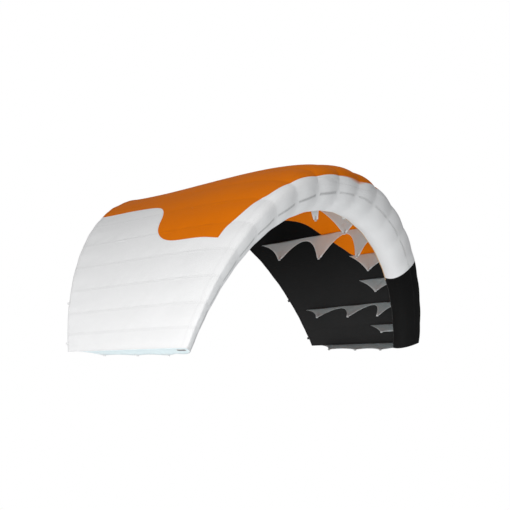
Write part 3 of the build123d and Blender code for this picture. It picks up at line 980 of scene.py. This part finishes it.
def build_rib(line):
    size = size_at(line)
    low = rib_low_edge(line)
    grid = rib_grid(line, low)
    flat = grid.reshape(-1, 2)
    rim = np.full(len(flat), FAR)
    for p, q in zip(low[:-1], low[1:]):
        d = q - p
        t = np.clip(((flat - p) @ d) / (d @ d), 0.0, 1.0)
        rim = np.minimum(rim, np.linalg.norm(flat - p - t[:, None] * d, axis=1))
    patch = np.full(len(flat), 9.0)
    for row, depth in loop_points(line):
        away = flat - np.array([row, -depth])
        patch = np.minimum(patch, np.hypot(away[:, 0] * 1.15, away[:, 1]) / 66.0)
    points = local_to_frame(line, flat[:, 0] * size, flat[:, 1] * size, rib_gathers(line, flat, rim))
    name = f"{'long' if line in LONG_RIBS else 'short'}_rib_{line + 1:02d}_cloth"
    faces = quads(len(low), grid.shape[1])
    obj = mesh_object(name, points, faces, {"rim": rim * size, "patch": patch}, flat * size / 1000.0)
    weld = obj.modifiers.new("weld", "WELD")
    weld.merge_threshold = 0.00002
    thick = obj.modifiers.new("cloth", "SOLIDIFY")
    thick.thickness = RIB_THICKNESS
    thick.offset = 0.0
    paint(obj, RIB if line > 0 else WHITE_RIB)
    body = "left_tip" if line <= TIP_CELLS else "right_tip" if line > RIGHT_FLEX else "centre"
    group = body.removesuffix("_tip") + "_short_ribs"
    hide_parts(f"long_rib_{line + 1:02d}" if line in LONG_RIBS else group)
    heights = np.linalg.norm(grid[:, -1] - grid[:, 0], axis=-1)
    area = float((np.diff(low[:, 0]) * (heights[1:] + heights[:-1]) / 2).sum()) * size * size / 1e6
    width, length = (float(np.ptp(flat[:, k])) * size / 1000.0 for k in (0, 1))
    area = max(min(area, width * length), 0.3 * width * length)
    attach(obj, body)
    return obj


# ---------------------------------------------------------------- webbing loops


# Thickness of the edge that a loop is sewn to, length of its tails and gap between them and the edge.
RIB_LOOP = (1.0, 18.0, 0.15)
BRAKE_LOOP = (2.4, 8.0, 0.15)


def loop_shape(cloth, tail, gap):
    """Webbing down one side of an edge, round an eye and up the other: points, faces, uv, rim."""
    width = WEBBING_WIDTH
    ring = LOOP_RADIUS + 0.5
    leg = cloth / 2.0 + gap + 0.5
    down = [(leg, y) for y in np.linspace(tail, 1.0, 7)]
    around = []
    for a in np.linspace(radians(58), radians(-238), 27):
        around.append((ring * cos(a), LOOP_EYE + ring * sin(a)))
    up = [(-z, y) for z, y in reversed(down)]
    path = np.array(down + around + up)
    run = np.gradient(path, axis=0)
    run /= np.linalg.norm(run, axis=1, keepdims=True)
    side = np.stack([run[:, 1], -run[:, 0]], -1) * 0.45
    length = np.concatenate([[0.0], np.cumsum(np.linalg.norm(np.diff(path, axis=0), axis=1))])
    xs = np.array([-width / 2, -width / 2 + 0.5, 0.0, width / 2 - 0.5, width / 2])
    verts, uv, rim = [], [], []
    for i in range(len(path)):
        for sign, order in ((1, xs), (-1, xs[::-1])):
            for x in order:
                z, y = path[i] + side[i] * sign * (0.55 if abs(abs(x) - width / 2) < 1e-9 else 1.0)
                verts.append((x, y, z))
                uv.append((x / 1000.0, length[i] / 1000.0))
                rim.append(width / 2 - abs(x))
    n = 2 * len(xs)
    faces = []
    for i in range(len(path) - 1):
        for j in range(n):
            a, b = i * n + j, i * n + (j + 1) % n
            faces.append((a, b, b + n, a + n))
    faces.append(tuple(range(n))[::-1])
    last = (len(path) - 1) * n
    faces.append(tuple(range(last, last + n)))
    return np.array(verts), faces, uv, rim


def build_loops(name, places, body, replaced, sewn, material):
    """places: list of (origin, x, y, z axes) with the origin on the cloth's edge, in metres."""
    verts, faces, uv, rim = [], [], [], []
    shape, shape_faces, shape_uv, shape_rim = loop_shape(*sewn)
    for origin, x, y, z in places:
        base = len(verts)
        at = origin + (shape[:, :1] * x + shape[:, 1:2] * y + shape[:, 2:] * z) / 1000.0
        verts += list(at)
        faces += [tuple(base + i for i in f) for f in shape_faces]
        uv += shape_uv
        rim += shape_rim
    obj = mesh_object(name, verts, faces, {"rim": rim}, uv)
    paint(obj, material)
    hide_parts(*replaced)
    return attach(obj, body)


def rib_loop_places(lines):
    places = []
    for line in lines:
        _, x, y, z = axes(line)
        size = size_at(line)
        for row, depth in loop_points(line):
            places.append((local_to_frame(line, row * size, -depth * size), x, y, z))
    return places


def brake_place(cell):
    def at(line, x):
        size = size_at(line)
        u = np.array([sqrt(x)])
        p = profile(u, line)[0] * size + normals(u, line)[0] * (float(puff(u, line)[0]) * size - 0.5)
        return local_to_frame(line, p[0], p[1])

    middle = cell + 0.5
    edge = at(middle, CENTRE_CHORD)
    along = at(middle + 0.05, CENTRE_CHORD) - at(middle - 0.05, CENTRE_CHORD)
    inward = at(middle, CENTRE_CHORD - 8.0 / size_at(middle)) - edge
    x = along / np.linalg.norm(along)
    z = np.cross(x, inward)
    z /= np.linalg.norm(z)
    return edge, x, np.cross(z, x), z


def build_webbing():
    groups = {
        "left": (range(0, TIP_CELLS + 1), "left_tip", WHITE_WEBBING),
        "centre": (range(TIP_CELLS + 1, RIGHT_FLEX + 1), "centre", WEBBING),
        "right": (range(RIGHT_FLEX + 1, CELLS + 1), "right_tip", WEBBING),
    }
    for name, (lines, body, material) in groups.items():
        places = rib_loop_places(lines)
        build_loops(name + "_bridle_webbing", places, body, [name + "_bridle_loops"], RIB_LOOP, material)
    for side in ("left", "right"):
        for k in (0, 2):
            cell = k if side == "left" else CELLS - 1 - k
            node = f"{side}_brake_loop_{k + 1}"
            material = BLACK_WEBBING if side == "right" else WHITE_WEBBING
            places = [brake_place(cell)]
            build_loops(node + "_webbing", places, f"{side}_flap_{k + 1}", [node], BRAKE_LOOP, material)


# ---------------------------------------------------------------- tip closures


def build_closure(line):
    """Hook-and-loop flap over the opening in a tip rib, with a bright bound edge."""
    size = size_at(line)
    side = -1.0 if line == 0 else 1.0
    half_l, half_h, corner = 43.0, 24.0, 9.0
    verts, uv, rim = [], [], []
    rings = [0.0, 1.5, 3.5, 5.0, 12.0, 20.0]
    angles = np.linspace(0.0, 2 * pi, 48, endpoint=False)
    for k, inset in enumerate(rings):
        for a in angles:
            c, s = cos(a), sin(a)
            cx = np.sign(c) * (half_l - corner)
            cy = np.sign(s) * (half_h - corner)
            x = cx + corner * c
            y = cy + corner * s
            shrink = 1.0 - inset / half_h
            x, y = x * (1.0 - inset / half_l), y * shrink
            height = 0.8 + 0.7 * ease(inset / 1.5) + (0.25 if inset <= 3.5 else 0.0)
            at = (CLOSURE_AT[0] + x) * size, (CLOSURE_AT[1] + y) * size
            verts.append(local_to_frame(line, *at, side * height))
            uv.append((x / 1000.0, y / 1000.0))
            rim.append(inset)
    n = len(angles)
    faces = []
    for k in range(len(rings) - 1):
        for j in range(n):
            a, b = k * n + j, k * n + (j + 1) % n
            faces.append((a, b, b + n, a + n) if side > 0 else (a, a + n, b + n, b))
    last = (len(rings) - 1) * n
    ring = tuple(range(last, last + n))
    faces.append(ring if side > 0 else ring[::-1])
    name = "left_tip_closure" if line == 0 else "right_tip_closure"
    obj = mesh_object(name + "_tape", verts, faces, {"rim": rim}, uv)
    paint(obj, CLOSURE)
    obj.data.materials.append(CLOSURE_RIM)
    for polygon in obj.data.polygons:
        polygon.material_index = 1 if polygon.index < 2 * n else 0
    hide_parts(name)
    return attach(obj, "left_tip" if line == 0 else "right_tip")


# ---------------------------------------------------------------- light, floor and camera


def build_stage():
    bpy.ops.mesh.primitive_plane_add(size=1, location=(0, 0.4, -3.2))
    floor = bpy.context.object
    floor.name = "studio_floor"
    floor.scale = (24, 24, 1)
    floor.data.materials.append(floor_material())
    world = bpy.data.worlds.new("studio")
    bpy.context.scene.world = world
    world.use_nodes = True
    tree = world.node_tree
    tree.nodes.clear()
    out = tree.nodes.new("ShaderNodeOutputWorld")
    seen = tree.nodes.new("ShaderNodeBackground")
    lit = tree.nodes.new("ShaderNodeBackground")
    mix = tree.nodes.new("ShaderNodeMixShader")
    path = tree.nodes.new("ShaderNodeLightPath")
    seen.inputs[0].default_value = (1, 1, 1, 1)
    lit.inputs[0].default_value = (0.97, 0.98, 1.0, 1)
    lit.inputs[1].default_value = 0.27
    tree.links.new(path.outputs["Is Camera Ray"], mix.inputs[0])
    tree.links.new(lit.outputs[0], mix.inputs[1])
    tree.links.new(seen.outputs[0], mix.inputs[2])
    tree.links.new(mix.outputs[0], out.inputs[0])


# Each lamp's place, the point that it faces, its size in metres, its power in watts and any colour.
LAMPS = {
    "key": ((-8.5, -0.3, 1.6), (0, 0.4, -0.2), 5.0, 180),
    "low": ((-6.5, -2.1, -1.4), (0.4, 0.3, -0.4), 2.5, 185),
    "top": ((-1.0, -1.5, 6.0), (0, 0.4, 0.0), 5.0, 130),
    "under": ((-1.25, 0.45, -1.6), (-1.2, 0.45, 0.0), 1.0, 3),
    "inner": ((-0.7, -0.8, -1.6), (0.9, 0.4, -0.3), 0.8, 8, (0.90, 0.97, 1.0)),
}

# The camera stands far off, so that its view is nearly parallel.
CAMERA_AZIMUTH, CAMERA_ELEVATION, CAMERA_ROLL = -60.0, -1.4394, -2.2661
CAMERA_TARGET = np.array([-0.00541, 0.50937, -0.36225])
CAMERA_AWAY, CAMERA_LENS = 28.0, 385.46


def lamp(name, place, target, size, power, color=(1, 1, 1)):
    data = bpy.data.lights.new(name, "AREA")
    data.shape = "SQUARE"
    data.size = size
    data.energy = power
    data.color = color
    obj = bpy.data.objects.new(name, data)
    bpy.context.scene.collection.objects.link(obj)
    obj.location = place
    obj.visible_camera = False
    obj.rotation_euler = (Vector(target) - Vector(place)).to_track_quat("-Z", "Y").to_euler()


def build_camera():
    az, el, roll = radians(CAMERA_AZIMUTH), radians(CAMERA_ELEVATION), radians(CAMERA_ROLL)
    back = np.array([sin(az) * cos(el), -cos(az) * cos(el), sin(el)])
    right = np.array([cos(az), sin(az), 0.0])
    up = np.cross(back, right)
    x = right * cos(roll) + up * sin(roll)
    y = -right * sin(roll) + up * cos(roll)
    place = CAMERA_TARGET - REFERENCE / 1000.0 + CAMERA_AWAY * back
    data = bpy.data.cameras.new("photo_camera")
    data.sensor_width = 36.0
    data.lens = CAMERA_LENS
    data.clip_end = 200.0
    camera = bpy.data.objects.new("photo_camera", data)
    bpy.context.scene.collection.objects.link(camera)
    camera.matrix_world = Matrix((
        (x[0], y[0], back[0], place[0]),
        (x[1], y[1], back[1], place[1]),
        (x[2], y[2], back[2], place[2]),
        (0, 0, 0, 1),
    ))
    bpy.context.scene.camera = camera


build_canopy()
build_nose()
for line in range(CELLS + 1):
    build_rib(line)
build_webbing()
build_closure(0)
build_closure(CELLS)
for part in ("left", "centre", "right"):
    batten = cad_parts[part + "_nose_battens"]
    batten.data.materials.clear()
    batten.data.materials.append(NYLON)
build_stage()
for name, settings in LAMPS.items():
    lamp(name, *settings)
build_camera()
view = bpy.context.scene.view_settings
view.view_transform = "Standard"
